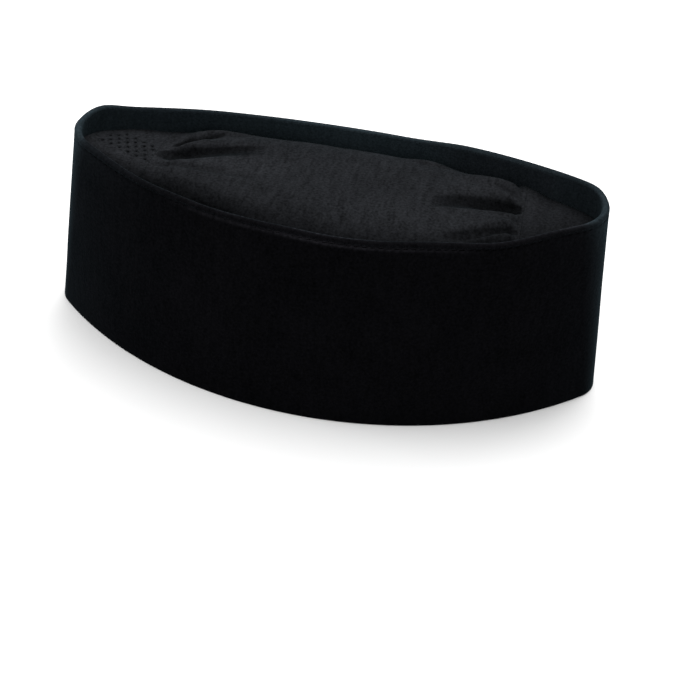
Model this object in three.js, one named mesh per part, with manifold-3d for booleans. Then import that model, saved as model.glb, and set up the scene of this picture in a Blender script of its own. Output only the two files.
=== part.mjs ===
// A songkok: a stiff oval cap of black velvet, open below, with a crown that is
// sewn in a little below the rim. The middle of the crown is a puffed panel with
// pleats at both ends. A flat panel closes each end, and one of them has vent holes.
//
// Units are millimetres. +Z is up, X runs from one end of the cap to the other and
// the origin is the middle of the lower edge, on the surface that the cap stands on.

import * as THREE from 'three';
import { mergeVertices } from 'three/addons/utils/BufferGeometryUtils.js';
import Module from 'manifold-3d';

const wasm = await Module();
wasm.setup();

// The band, at its lower edge and at its rim. Each outline is an oval of four arcs.
const baseLength = 254;
const baseWidth = 120;
const baseEndRadius = 15;
const rimLength = 230;
const rimWidth = 95;
const rimEndRadius = 21;
const bandHeight = 92;        // at the two ends
const rimDip = 7.6;           // how much lower the rim is half-way along the sides
const rimLift = 1.9;          // rise of the rim along one stretch of the +Y side
const liftStartX = 20;        // where that stretch begins
const liftFullX = 54;         // and where it is at its full rise
const bandThickness = 3;      // velvet over stiffener, folded to the inside at the rim
const rimFoldRadius = 1.2;    // rounding of the folded edge
const stitchDrop = 2.2;       // the stitched line round the band, below the rim
const stitchWidth = 1.2;
const stitchDepth = 0.3;

// The crown
const crownDrop = 11.2;       // from the rim down to the seam that holds the crown
const clothThickness = 1.8;
const seatGap = 0.3;          // between the crown and the band
const seamGap = 0.3;          // between two crown panels
const seamFromMiddle = 81;    // where the middle panel is sewn to the end panels
const puffRise = 10;          // middle panel above its edge, at the middle
const seamRise = 2.6;         // and at its pleated ends
const endRise = 1.2;          // crown of the end panels

// Vent holes of the end panel on the -X side
const ventDiameter = 1.5;
const ventPitch = 4.6;        // along a row
const ventRowPitch = 2.9;     // between two rows
const ventTilt = -17 * (Math.PI / 180);     // of the rows, from the cap's long axis
const ventMiddle = [-90.4, 3.5];
const ventColumns = 7;
const ventRows = 5;
const ventMargin = 3.2;       // least distance of a hole's middle from the band
const ventSides = 8;

// Pleats of the middle panel. side is -1 or +1 for the end of the cap. A pleat starts
// at the seam, at fromY, and runs out at toX and toY: x as a share of seamFromMiddle,
// y as a share of half the crown's width. half is half the pleat's width as a share
// of that half width, and depth and ridge are shares of the puff's rise.
const pleats = [
  { side: -1, fromY: 0.05, toX: 0.42, toY: 0.40, half: 0.120, depth: 0.56, ridge: 0.16 },
  { side: -1, fromY: 0.47, toX: 0.66, toY: 0.88, half: 0.075, depth: 0.30, ridge: 0.12 },
  { side: -1, fromY: -0.20, toX: 0.30, toY: -0.23, half: 0.090, depth: 0.14, ridge: 0.03 },
  { side: 1, fromY: 0.18, toX: 0.52, toY: -0.05, half: 0.120, depth: 0.54, ridge: 0.14 },
  { side: 1, fromY: -0.36, toX: 0.58, toY: -0.70, half: 0.090, depth: 0.42, ridge: 0.12 },
  { side: 1, fromY: 0.42, toX: 0.78, toY: 0.58, half: 0.060, depth: 0.24, ridge: 0.08 },
];

// Broad hollows beside the band, in the same shares: where each starts and ends.
const hollows = [
  { fromX: -0.99, fromY: -0.57, toX: 0.08, toY: -0.89, half: 0.42, depth: 0.56 },
  { fromX: 0.42, fromY: -0.72, toX: 0.99, toY: -0.84, half: 0.34, depth: 0.20 },
];

// How the puff and its folds are rounded
const puffEndPower = 2.4;     // the higher, the flatter the puff's middle along the cap
const puffSidePower = 3.4;    // the same across the cap
const pleatAtSeam = 0.5;      // depth of a pleat at the seam, as a share of its deepest
const pleatOpening = 6;       // how soon a pleat gets from there to its deepest
const pleatTaper = 0.45;      // share of its width that a pleat loses towards its end
const ridgeOffset = 1.5;      // ridges beside a pleat, in half widths from its middle
const foldFade = 1.6;         // how soon folds reach full depth from the crown's edge

// How finely the outlines are stepped
const endSteps = 5;           // along one small arc, in a quarter of the oval
const sideSteps = 13;         // along one large arc, in a quarter of the oval
const panelColumns = 38;
const panelRows = 32;
const endPanelColumns = 12;
const endPanelRows = 12;
const searchSteps = 40;       // halvings when a place on the outline is looked for

const velvet = new THREE.MeshStandardMaterial({ color: 0x0b0b0d, roughness: 0.95, metalness: 0 });
const crownVelvet = new THREE.MeshStandardMaterial({ color: 0x17181b, roughness: 0.92, metalness: 0 });
const ventCloth = new THREE.MeshStandardMaterial({ color: 0x1b1d20, roughness: 0.88, metalness: 0 });

// Geometry of a four-arc oval: small arcs at the ends, large arcs along the sides.
function makeOval(length, width, endRadius) {
  const half = length / 2;
  const smallCentre = half - endRadius;
  const sideRadius = (smallCentre ** 2 + (width / 2) ** 2 - endRadius ** 2) / (width - 2 * endRadius);
  const largeCentre = width / 2 - sideRadius;
  const turn = Math.atan2(-largeCentre, smallCentre);
  return { endRadius, smallCentre, sideRadius, largeCentre, turn };
}

const baseOval = makeOval(baseLength, baseWidth, baseEndRadius);
const rimOval = makeOval(rimLength, rimWidth, rimEndRadius);
const endShare = endSteps / (endSteps + sideSteps);

// A point of the oval's first quarter, moved inwards by inset. q runs from 0 at the
// end of the cap to 1 at the middle of its side.
function quarterPoint(oval, q, inset) {
  if (q < endShare) {
    const angle = (q / endShare) * oval.turn;
    const radius = oval.endRadius - inset;
    return [oval.smallCentre + radius * Math.cos(angle), radius * Math.sin(angle)];
  }
  const angle = oval.turn + ((q - endShare) / (1 - endShare)) * (Math.PI / 2 - oval.turn);
  const radius = oval.sideRadius - inset;
  return [radius * Math.cos(angle), oval.largeCentre + radius * Math.sin(angle)];
}

// Height of the rim, which dips along the sides.
function rimHeight(q) {
  const y = quarterPoint(rimOval, q, 0)[1];
  return bandHeight - rimDip * (y / (rimWidth / 2)) ** 2;
}

// 0 up to the first value, 1 from the second one on, smooth in between.
function smoothStep(from, to, value) {
  const share = Math.min(1, Math.max(0, (value - from) / (to - from)));
  return share * share * (3 - 2 * share);
}

// How much the rim is lifted, which fades out round the end of the cap.
function liftAt({ q, signX, signY }) {
  if (signX < 0 || signY < 0) return 0;
  const [x, y] = quarterPoint(rimOval, q, 0);
  return rimLift * smoothStep(liftStartX, liftFullX, x) * smoothStep(0, rimEndRadius, y);
}

// A point of the band in its first quarter, at a height and an inset from outside.
function bandPoint(q, height, inset) {
  const share = height / rimHeight(q);
  const low = quarterPoint(baseOval, q, inset);
  const high = quarterPoint(rimOval, q, inset);
  const x = low[0] + (high[0] - low[0]) * share;
  const y = low[1] + (high[1] - low[1]) * share;
  return new THREE.Vector3(x, y, height);
}

// Section of the band, from its outer lower edge up, over the rim and down inside.
// Each row gives the height for a place on the round and the inset from outside.
function bandSection() {
  const inner = bandThickness;
  const fold = Math.min(rimFoldRadius, bandThickness / 2);
  const cut = fold * (1 - Math.SQRT1_2);
  const upFrom = (share) => (place) => rimHeight(place.q) * share;
  const downFrom = (drop) => (place) => rimHeight(place.q) + liftAt(place) - drop;
  return [
    { height: upFrom(0), inset: 0 },
    { height: upFrom(1 / 3), inset: 0 },
    { height: upFrom(2 / 3), inset: 0 },
    { height: downFrom(stitchDrop + stitchWidth / 2), inset: 0 },
    { height: downFrom(stitchDrop), inset: stitchDepth },
    { height: downFrom(stitchDrop - stitchWidth / 2), inset: 0 },
    { height: downFrom(fold), inset: 0 },
    { height: downFrom(cut), inset: cut },
    { height: downFrom(0), inset: fold },
    { height: downFrom(0), inset: inner - fold },
    { height: downFrom(cut), inset: inner - cut },
    { height: downFrom(fold), inset: inner },
    { height: upFrom(2 / 3), inset: inner },
    { height: upFrom(1 / 3), inset: inner },
    { height: upFrom(0), inset: inner },
  ];
}

// Collects vertices and faces. Quads are split, and faces with two equal corners
// are left out, so a row may run together at the tip of the oval.
class Shell {
  constructor() {
    this.points = [];
    this.faces = [];
  }

  add(point) {
    this.points.push(point.x, point.y, point.z);
    return this.points.length / 3 - 1;
  }

  triangle(a, b, c) {
    if (a !== b && b !== c && c !== a) this.faces.push(a, b, c);
  }

  quad(a, b, c, d) {
    this.triangle(a, b, c);
    this.triangle(a, c, d);
  }

  geometry() {
    const geometry = new THREE.BufferGeometry();
    geometry.setAttribute('position', new THREE.Float32BufferAttribute(this.points, 3));
    geometry.setIndex(this.faces);
    return geometry;
  }
}

// The whole round of quarter positions, with the signs that mirror the quarter.
function roundPositions() {
  const steps = endSteps + sideSteps;
  const positions = [];
  for (let i = 0; i < 4 * steps; i += 1) {
    const quadrant = Math.floor(i / steps);
    const rest = (i % steps) / steps;
    const q = quadrant % 2 === 0 ? rest : 1 - rest;
    const signX = quadrant === 0 || quadrant === 3 ? 1 : -1;
    const signY = quadrant < 2 ? 1 : -1;
    positions.push({ q, signX, signY });
  }
  return positions;
}

function makeBand() {
  const shell = new Shell();
  const round = roundPositions();
  const section = bandSection();
  for (const row of section) {
    for (const place of round) {
      const point = bandPoint(place.q, row.height(place), row.inset);
      shell.add(new THREE.Vector3(point.x * place.signX, point.y * place.signY, point.z));
    }
  }
  const count = round.length;
  for (let r = 0; r < section.length; r += 1) {
    const next = (r + 1) % section.length;
    for (let i = 0; i < count; i += 1) {
      const j = (i + 1) % count;
      shell.quad(r * count + i, r * count + j, next * count + j, next * count + i);
    }
  }
  return shell.geometry();
}

// Where the top of the crown meets the band, for a quarter position.
function crownEdge(q) {
  return bandPoint(q, rimHeight(q) - crownDrop, bandThickness + seatGap);
}

// The quarter position at which the crown's edge is a given distance from the middle.
function positionAt(x) {
  let low = 0;
  let high = 1;
  for (let i = 0; i < searchSteps; i += 1) {
    const middle = (low + high) / 2;
    if (crownEdge(middle).x > x) low = middle;
    else high = middle;
  }
  return (low + high) / 2;
}

const crownTip = crownEdge(0).x;

// 1 at the middle, 0 at a distance of 1 and beyond, smooth in between.
function bump(distance) {
  const rest = 1 - distance * distance;
  return rest > 0 ? rest * rest : 0;
}

// Depth of one pleat: a lens that opens at the seam, runs out inwards and has a
// ridge of pushed-up cloth on each side.
function pleatChange(pleat, x, y, halfWidth) {
  const along = (1 - (x * pleat.side) / seamFromMiddle) / (1 - pleat.toX);
  if (along < 0 || along > 1) return 0;
  const middle = (pleat.fromY + (pleat.toY - pleat.fromY) * along) * halfWidth;
  const opened = Math.sqrt(Math.min(1, along * pleatOpening + pleatAtSeam ** 2));
  const lens = opened * (1 - along);
  const half = pleat.half * halfWidth * (1 - pleatTaper * along);
  const offset = (y - middle) / half;
  const trough = bump(offset) * pleat.depth;
  const ridge = (bump(offset - ridgeOffset) + bump(offset + ridgeOffset)) * pleat.ridge;
  return puffRise * lens * (ridge - trough);
}

function hollowChange(hollow, x, y, halfWidth) {
  const along = (x / seamFromMiddle - hollow.fromX) / (hollow.toX - hollow.fromX);
  const middle = hollow.fromY + (hollow.toY - hollow.fromY) * along;
  const offset = (y / halfWidth - middle) / hollow.half;
  return -puffRise * hollow.depth * bump(2 * along - 1) * bump(offset);
}

// Height of the middle panel above the level of its edge.
function puffHeight(x, y, halfWidth) {
  const along = Math.min(1, Math.abs(x) / seamFromMiddle);
  const across = Math.min(1, Math.abs(y) / halfWidth);
  const rise = seamRise + (puffRise - seamRise) * (1 - along ** puffEndPower);
  const side = 1 - across ** puffSidePower;
  const folds = pleats.reduce((sum, pleat) => sum + pleatChange(pleat, x, y, halfWidth), 0);
  const dents = hollows.reduce((sum, hollow) => sum + hollowChange(hollow, x, y, halfWidth), 0);
  return Math.max(0, rise * side + (folds + dents) * Math.min(1, side * foldFade));
}

function endHeight(x, y, halfWidth) {
  const across = halfWidth > 0 ? Math.min(1, Math.abs(y) / halfWidth) : 1;
  return endRise * (1 - across ** 2);
}

// A sheet of cloth between the first and the last of its stations, which are signed
// distances from the middle in rising order. A column of points runs straight across
// at each station, from one side of the crown's edge to the other.
function makePanel(stations, rows, heightAbove) {
  const shell = new Shell();
  const columns = stations.length - 1;
  const top = [];
  const under = [];
  for (const x of stations) {
    const edge = crownEdge(positionAt(Math.abs(x)));
    const tip = Math.abs(x) === crownTip;
    const topColumn = [];
    const underColumn = [];
    for (let j = 0; j <= rows; j += 1) {
      const y = tip ? 0 : edge.y * ((2 * j) / rows - 1);
      const z = edge.z + heightAbove(x, y, edge.y);
      if (tip && j > 0) {
        topColumn.push(topColumn[0]);
        underColumn.push(underColumn[0]);
      } else {
        topColumn.push(shell.add(new THREE.Vector3(x, y, z)));
        underColumn.push(shell.add(new THREE.Vector3(x, y, z - clothThickness)));
      }
    }
    top.push(topColumn);
    under.push(underColumn);
  }
  for (let i = 0; i < columns; i += 1) {
    for (let j = 0; j < rows; j += 1) {
      shell.quad(top[i][j], top[i + 1][j], top[i + 1][j + 1], top[i][j + 1]);
      shell.quad(under[i][j], under[i][j + 1], under[i + 1][j + 1], under[i + 1][j]);
    }
    shell.quad(top[i][0], under[i][0], under[i + 1][0], top[i + 1][0]);
    shell.quad(top[i + 1][rows], under[i + 1][rows], under[i][rows], top[i][rows]);
  }
  for (let j = 0; j < rows; j += 1) {
    shell.quad(top[0][j], top[0][j + 1], under[0][j + 1], under[0][j]);
    shell.quad(top[columns][j + 1], top[columns][j], under[columns][j], under[columns][j + 1]);
  }
  return shell.geometry();
}

// Turns a closed geometry into a solid that can be cut, and back.
function toSolid(geometry) {
  const bare = geometry.clone();
  bare.deleteAttribute('normal');
  bare.deleteAttribute('uv');
  const merged = mergeVertices(bare);
  return new wasm.Manifold(new wasm.Mesh({
    numProp: 3,
    vertProperties: new Float32Array(merged.attributes.position.array),
    triVerts: new Uint32Array(merged.index.array),
  }));
}

function toGeometry(solid) {
  const mesh = solid.getMesh();
  const geometry = new THREE.BufferGeometry();
  geometry.setAttribute('position', new THREE.BufferAttribute(mesh.vertProperties, 3));
  geometry.setIndex(new THREE.BufferAttribute(mesh.triVerts, 1));
  return geometry;
}

// Places of the vent holes, in staggered rows. A hole that would come too near the
// band or the seam is left out.
function ventPlaces() {
  const places = [];
  for (let row = 0; row < ventRows; row += 1) {
    const across = (row - (ventRows - 1) / 2) * ventRowPitch;
    const shift = (row % 2) * (ventPitch / 2);
    for (let column = 0; column < ventColumns; column += 1) {
      const along = (column - (ventColumns - 1) / 2) * ventPitch + shift;
      const x = ventMiddle[0] + along * Math.cos(ventTilt) - across * Math.sin(ventTilt);
      const y = ventMiddle[1] + along * Math.sin(ventTilt) + across * Math.cos(ventTilt);
      const reach = Math.abs(x) + ventMargin;
      const room = crownEdge(positionAt(reach)).y - Math.abs(y);
      const clearOfSeam = Math.abs(x) - ventDiameter > seamFromMiddle;
      if (clearOfSeam && reach < crownTip && room > ventMargin) places.push([x, y]);
    }
  }
  return places;
}

function cutVents(geometry) {
  const drillLength = 3 * (clothThickness + endRise);     // well past both faces
  const level = bandHeight - crownDrop;
  let solid = toSolid(geometry);
  for (const [x, y] of ventPlaces()) {
    const drill = new THREE.CylinderGeometry(ventDiameter / 2, ventDiameter / 2, drillLength, ventSides);
    drill.rotateX(Math.PI / 2);
    drill.translate(x, y, level);
    solid = solid.subtract(toSolid(drill));
  }
  return toGeometry(solid);
}

function addMesh(group, name, geometry, material) {
  geometry.computeVertexNormals();
  const mesh = new THREE.Mesh(geometry, material);
  mesh.name = name;
  group.add(mesh);
}

// Stations of the middle panel, closer together towards the pleated seams.
function middleStations() {
  const reach = seamFromMiddle - seamGap / 2;
  return Array.from({ length: panelColumns + 1 }, (_, i) => {
    const even = (2 * i) / panelColumns - 1;
    return reach * (even + Math.sin((even * Math.PI) / 2)) / 2;
  });
}

// Stations of an end panel from its seam to the tip, closer together where the
// outline turns round the end.
function endStations() {
  const seam = positionAt(seamFromMiddle + seamGap / 2);
  return Array.from({ length: endPanelColumns + 1 }, (_, i) => {
    const q = seam * (1 - i / endPanelColumns);
    return crownEdge(q).x;
  });
}

const plainStations = endStations();
const ventedStations = plainStations.map((x) => -x).reverse();

const songkok = new THREE.Group();
addMesh(songkok, 'side_band', makeBand(), velvet);
addMesh(songkok, 'crown_panel', makePanel(middleStations(), panelRows, puffHeight), crownVelvet);
addMesh(songkok, 'end_panel_vented', cutVents(makePanel(ventedStations, endPanelRows, endHeight)), ventCloth);
addMesh(songkok, 'end_panel_plain', makePanel(plainStations, endPanelRows, endHeight), crownVelvet);

export default songkok;
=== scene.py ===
"""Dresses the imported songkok: velvet band with a stitched rim, puffed crown, end panels and a pale stage."""

import math
from collections import namedtuple

import bpy
import numpy as np
from bpy.props import FloatProperty, FloatVectorProperty, IntProperty, PointerProperty
from mathutils import Matrix, Vector, noise


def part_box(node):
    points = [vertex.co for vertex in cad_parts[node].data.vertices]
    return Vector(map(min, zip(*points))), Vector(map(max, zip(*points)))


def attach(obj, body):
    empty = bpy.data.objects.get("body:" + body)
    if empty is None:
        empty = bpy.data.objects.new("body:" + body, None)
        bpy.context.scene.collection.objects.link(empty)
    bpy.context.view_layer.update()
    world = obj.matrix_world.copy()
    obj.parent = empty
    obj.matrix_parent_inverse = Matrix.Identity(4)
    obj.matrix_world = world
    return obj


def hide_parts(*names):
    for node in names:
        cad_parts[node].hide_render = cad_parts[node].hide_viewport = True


bl_info = {
    "name": "Songkok",
    "version": (1, 0, 0),
    "blender": (4, 5, 0),
    "location": "3D View > Sidebar > Songkok",
    "description": "Builds a velvet songkok with a stitched rim, a puffed crown and a vented end",
    "category": "Add Mesh",
}

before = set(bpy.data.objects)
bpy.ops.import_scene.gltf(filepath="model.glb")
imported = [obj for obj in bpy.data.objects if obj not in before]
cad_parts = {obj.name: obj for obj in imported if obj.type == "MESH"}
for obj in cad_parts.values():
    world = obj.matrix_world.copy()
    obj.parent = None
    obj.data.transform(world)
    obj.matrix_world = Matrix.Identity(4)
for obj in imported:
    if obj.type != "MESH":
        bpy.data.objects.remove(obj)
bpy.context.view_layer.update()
BAND_LOW, BAND_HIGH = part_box("side_band")

# Share of the quarter outline that goes round the end of the cap; the rest is its side.
END_SHARE = 5 / 18


def length(name, description, default, precision=4):
    return FloatProperty(name=name, description=description, default=default, min=0, unit="LENGTH",
                         precision=precision)


def colour(name, description, default):
    return FloatVectorProperty(name=name, description=description, default=default, size=3, min=0, max=1,
                               subtype="COLOR")


class BandSizes(bpy.types.PropertyGroup):
    """Outline and wall of the band"""
    base_length: length("Lower edge length", "Length of the cap at its lower edge", BAND_HIGH.x - BAND_LOW.x)
    base_width: length("Lower edge width", "Width of the cap at its lower edge", 0.120)
    base_end_radius: length("Lower end radius", "Radius of the lower edge round the ends", 0.015)
    rim_length: length("Rim length", "Length of the cap at its rim", 0.230)
    rim_width: length("Rim width", "Width of the cap at its rim", 0.095)
    rim_end_radius: length("Rim end radius", "Radius of the rim round the ends", 0.021)
    height: length("Height", "Height of the band at the two ends", 0.092)
    rim_dip: length("Rim dip", "How much lower the rim is half-way along the sides", 0.0076)
    rim_lift: length("Rim lift", "Rise of the rim along one stretch of the +Y side", 0.0019)
    lift_start: length("Lift start", "Where that stretch begins, from the middle of the cap", 0.020)
    lift_full: length("Lift full", "Where that stretch is at its full rise", 0.054)
    corner_lift: length("Corner lift", "Rise of the rim where the vented end turns into the +Y side", 0.0019)
    wall: length("Wall", "Thickness of the velvet over its stiffener", 0.003)
    fold_radius: length("Rim fold", "Rounding of the folded rim", 0.0012, 5)
    foot_radius: length("Lower edge fold", "Rounding of the lower edge", 0.0008, 5)
    unevenness: length("Unevenness", "How far the wall wanders from its true outline", 0.0003, 5)
    columns: IntProperty(name="Columns", description="Faces round the band", default=990, min=90, max=1400)


class StitchSizes(bpy.types.PropertyGroup):
    """The stitched line below the rim"""
    drop: length("Drop", "Height of the rim above the stitched line", 0.0022)
    pitch: length("Pitch", "Distance from one stitch to the next", 0.0032)
    thread: length("Thread", "Diameter of the sewing thread", 0.00032, 5)
    groove_depth: length("Groove depth", "How far the thread pulls the velvet in", 0.00024, 5)
    groove_width: length("Groove width", "Half width of the pulled-in line", 0.00050, 5)
    pucker: length("Pucker", "How far the velvet stands out between two needle holes", 0.00009, 5)


class CrownSizes(bpy.types.PropertyGroup):
    """The sunken crown and its panels"""
    drop: length("Drop", "From the rim down to the seam of the crown", 0.0112)
    cloth: length("Cloth", "Thickness of the crown's cloth", 0.0018)
    seat_gap: length("Gap at the band", "Gap between the crown and the band", 0.0003, 5)
    seam_slit: length("Seam slit", "Width of the line between two sewn panels", 0.00004, 5)
    seam_from_middle: length("Seam place", "Distance of the cross seams from the middle", 0.081)
    puff_rise: length("Puff", "Rise of the middle panel at its middle", 0.010)
    seam_rise: length("Puff at the seams", "Rise of the middle panel at its pleated ends", 0.0026)
    end_rise: length("End rise", "Rise of the end panels", 0.0012)
    seam_roll: length("Seam roll", "How far the cloth turns down into a cross seam", 0.00003, 5)
    seam_blend: length("Seam blend", "Over which distance the puff settles to the level of the seam", 0.006)
    vented_lift: length("Vented end lift", "Rise of the vented end away from its seam", 0.0015)


class VentSizes(bpy.types.PropertyGroup):
    """Vent holes of one end panel"""
    diameter: length("Diameter", "Diameter of a vent hole", 0.0015)
    pitch: length("Pitch", "Distance between holes along a row", 0.0046)
    row_pitch: length("Row pitch", "Distance between two rows", 0.0029)
    tilt: FloatProperty(name="Tilt", description="Turn of the rows from the long axis", unit="ROTATION",
                        default=math.radians(-17))
    middle: FloatVectorProperty(name="Middle", description="Middle of the block of holes", size=2,
                                unit="LENGTH", default=(-0.0904, 0.0035))
    columns: IntProperty(name="Columns", description="Holes in a row", default=7, min=1, max=12)
    rows: IntProperty(name="Rows", description="Rows of holes", default=5, min=1, max=12)
    margin: length("Margin", "Least distance of a hole's middle from the band", 0.0032)
    lip: length("Lip", "How far the cloth stands up round a hole", 0.00030, 5)


class Finishes(bpy.types.PropertyGroup):
    """Colours of the cloth and the floor"""
    band_deep: colour("Band, deep", "Darkest tone of the band's velvet", (0.0010, 0.0010, 0.0012))
    band_light: colour("Band, light", "Lightest tone of the band's velvet", (0.0036, 0.0035, 0.0042))
    # Paler teal tones for the painted sheen of the band.
    painted_sheen_deep: colour("Band brushed, deep", "Darkest tone where the band's pile lies the other way",
                         (0.0105, 0.0155, 0.0185))
    painted_sheen_light: colour("Band brushed, light", "Lightest tone where the band's pile lies the other way",
                          (0.0280, 0.0395, 0.0465))
    crown_deep: colour("Crown, deep", "Darkest tone of the crown's velvet", (0.0050, 0.0052, 0.0058))
    crown_light: colour("Crown, light", "Lightest tone of the crown's velvet", (0.0165, 0.0175, 0.0198))
    # The vented end's cloth is the crown's velvet painted lighter: painted light.
    vented_painted_light_gain: FloatProperty(name="Vent cloth gain", min=0, default=1.40,
                                   description="How much lighter the vented cloth is than the crown's")
    backing: colour("Backing", "Woven back of the cloth", (0.010, 0.010, 0.011))
    thread: colour("Thread", "Sewing thread", (0.0016, 0.0016, 0.0019))
    sheen: colour("Sheen", "Light that the pile gives back at a low angle", (0.45, 0.72, 0.85))
    floor: colour("Floor", "The pale floor", (0.90, 0.90, 0.90))


class StageSettings(bpy.types.PropertyGroup):
    """Camera and light"""
    camera_place: FloatVectorProperty(name="Camera", description="Place of the camera", size=3, unit="LENGTH",
                                      default=(0.0726, -0.4304, 0.3365))
    camera_turn: FloatVectorProperty(name="Camera turn", description="Azimuth, elevation and roll",
                                     size=3, subtype="EULER", unit="ROTATION",
                                     default=(math.radians(8.3041), math.radians(38.0), math.radians(5.3282)))
    lens: FloatProperty(name="Lens", description="Focal length in millimetres", default=61.40)
    sky: FloatProperty(name="Sky", description="Strength of the even light all round", default=0.85)
    overhead: FloatProperty(name="Overhead light", description="Power of the light above, watts", default=12)
    side: FloatProperty(name="Side light", description="Power of the light at the left, watts", default=4)


Oval = namedtuple("Oval", "end_radius small_centre side_radius large_centre turn")
Wave = namedtuple("Wave", "x rise reach")

# Slow waves of the rim on the -Y side: where each has its middle, how high it is and how far it reaches.
RIM_WAVES = (Wave(-0.078, -0.0019, 0.024), Wave(-0.045, -0.0005, 0.012), Wave(-0.012, 0.0006, 0.014),
             Wave(0.074, -0.0021, 0.016))


def settings(name):
    return getattr(bpy.context.scene, "songkok_" + name)


def oval_of(long, wide, end_radius):
    """Four-arc oval: small arcs at the ends, large arcs along the sides."""
    small_centre = long / 2 - end_radius
    side_radius = (small_centre**2 + (wide / 2) ** 2 - end_radius**2) / (wide - 2 * end_radius)
    large_centre = wide / 2 - side_radius
    return Oval(end_radius, small_centre, side_radius, large_centre, math.atan2(-large_centre, small_centre))


def quarter_points(oval, q, inset):
    """Points of the oval's first quarter. q runs from 0 at the end to 1 at the middle of the side."""
    end_angle = q / END_SHARE * oval.turn
    side_angle = oval.turn + (q - END_SHARE) / (1 - END_SHARE) * (math.pi / 2 - oval.turn)
    end = oval.end_radius - inset
    side = oval.side_radius - inset
    round_end = q < END_SHARE
    x = np.where(round_end, oval.small_centre + end * np.cos(end_angle), side * np.cos(side_angle))
    y = np.where(round_end, end * np.sin(end_angle), oval.large_centre + side * np.sin(side_angle))
    return x, y


def outlines():
    band = settings("band")
    base = oval_of(band.base_length, band.base_width, band.base_end_radius)
    rim = oval_of(band.rim_length, band.rim_width, band.rim_end_radius)
    return base, rim


def rim_height(q):
    band = settings("band")
    y = quarter_points(outlines()[1], q, 0)[1]
    return band.height - band.rim_dip * (y / (band.rim_width / 2)) ** 2


def scaled(tone, gain):
    return tuple(gain * part for part in tone)


def smooth_step(start, end, value):
    share = np.clip((value - start) / (end - start), 0, 1)
    return share * share * (3 - 2 * share)


def rim_lift(q, sign_x, sign_y):
    """How much the rim is lifted at a place on the round. It fades out round the ends."""
    band = settings("band")
    x, y = quarter_points(outlines()[1], q, 0)
    stretch = band.rim_lift * smooth_step(band.lift_start, band.lift_full, x) * (sign_x > 0) * (sign_y > 0)
    corner = band.corner_lift * bell((x - 0.111) / 0.010) * (sign_x < 0) * (sign_y > 0)
    waves = sum(wave.rise * bell((x * sign_x - wave.x) / wave.reach) for wave in RIM_WAVES) * (sign_y < 0)
    return (stretch + corner + waves) * smooth_step(0, 0.7 * band.rim_end_radius, y)


def band_points(q, height, inset):
    """Points of the band's first quarter at a height and an inset from its outer face."""
    base, rim = outlines()
    up = height / rim_height(q)
    low_x, low_y = quarter_points(base, q, inset)
    high_x, high_y = quarter_points(rim, q, inset)
    return low_x + (high_x - low_x) * up, low_y + (high_y - low_y) * up, height + 0 * q


def quarter_of(turn):
    """Quarter position and the signs of x and y for a share of the whole round."""
    quadrant = np.floor(turn * 4).astype(int) % 4
    rest = turn * 4 - np.floor(turn * 4)
    q = np.where(quadrant % 2 == 0, rest, 1 - rest)
    sign_x = np.where((quadrant == 0) | (quadrant == 3), 1, -1)
    sign_y = np.where(quadrant < 2, 1, -1)
    return q, sign_x, sign_y


def even_turns(distance_share):
    """Shares of the round that lie at even distances along the rim, and the rim's length."""
    turn = np.linspace(0, 1, 8001)
    q, sign_x, sign_y = quarter_of(np.minimum(turn, 0.9999999))
    x, y = quarter_points(outlines()[1], q, 0)
    x, y = x * sign_x, y * sign_y
    way = np.concatenate([[0], np.cumsum(np.hypot(np.diff(x), np.diff(y)))])
    return np.interp(distance_share * way[-1], way, turn), way[-1]


def bump(distance):
    """1 at the middle, 0 at a distance of 1 and beyond, smooth in between."""
    return np.maximum(0, 1 - distance**2) ** 2


def bell(distance):
    return np.exp(-(distance**2))


def wander(points, size, seed):
    """Smooth random values from -1 to 1 that change over about the given distance."""
    shift = Vector((17.3, 5.1, 9.7)) * seed
    return np.array([noise.noise(Vector(p) / size + shift) for p in points])


def pick_only(piece):
    bpy.ops.object.select_all(action="DESELECT")
    piece.select_set(True)
    bpy.context.view_layer.objects.active = piece


def new_grid(name, columns, rows):
    """A sheet of faces, with the shares of its columns and rows for each vertex."""
    bpy.ops.object.select_all(action="DESELECT")
    bpy.ops.mesh.primitive_grid_add(x_subdivisions=columns, y_subdivisions=rows, size=1, calc_uvs=True)
    piece = bpy.context.active_object
    piece.name = piece.data.name = name
    places = np.empty(len(piece.data.vertices) * 3)
    piece.data.vertices.foreach_get("co", places)
    places = places.reshape(-1, 3) + 0.5
    return piece, np.clip(places[:, 0], 0, 1), np.clip(places[:, 1], 0, 1)


def put_points(piece, x, y, z):
    piece.data.vertices.foreach_set("co", np.stack([x, y, z], 1).astype(np.float32).ravel())
    piece.data.update()


def keep_values(piece, name, values):
    """Stores one value for each vertex, for the materials to read."""
    layer = piece.data.attributes.new(name, "FLOAT", "POINT")
    layer.data.foreach_set("value", np.asarray(values, np.float32))


def smooth(piece):
    pick_only(piece)
    bpy.ops.object.shade_smooth()


def close_outline(piece):
    """Joins the first and last column and row where they meet, and turns all faces outwards."""
    pick_only(piece)
    bpy.ops.object.mode_set(mode="EDIT")
    bpy.ops.mesh.select_all(action="SELECT")
    bpy.ops.mesh.remove_doubles(threshold=2e-6)
    bpy.ops.mesh.normals_make_consistent(inside=False)
    bpy.ops.object.mode_set(mode="OBJECT")


def give_thickness(piece, thickness):
    """Draws the sheet's underside out below it, in the backing's material, and closes it."""
    pick_only(piece)
    bpy.ops.object.mode_set(mode="EDIT")
    bpy.ops.mesh.select_all(action="SELECT")
    bpy.ops.mesh.remove_doubles(threshold=2e-6)
    bpy.ops.mesh.extrude_region_move(TRANSFORM_OT_translate={"value": (0, 0, -thickness)})
    piece.active_material_index = 1
    bpy.ops.object.material_slot_assign()
    bpy.ops.mesh.select_all(action="SELECT")
    bpy.ops.mesh.normals_make_consistent(inside=False)
    bpy.ops.object.mode_set(mode="OBJECT")


def dress(piece, node):
    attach(piece, "root")
    if node:
        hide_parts(node)


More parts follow.
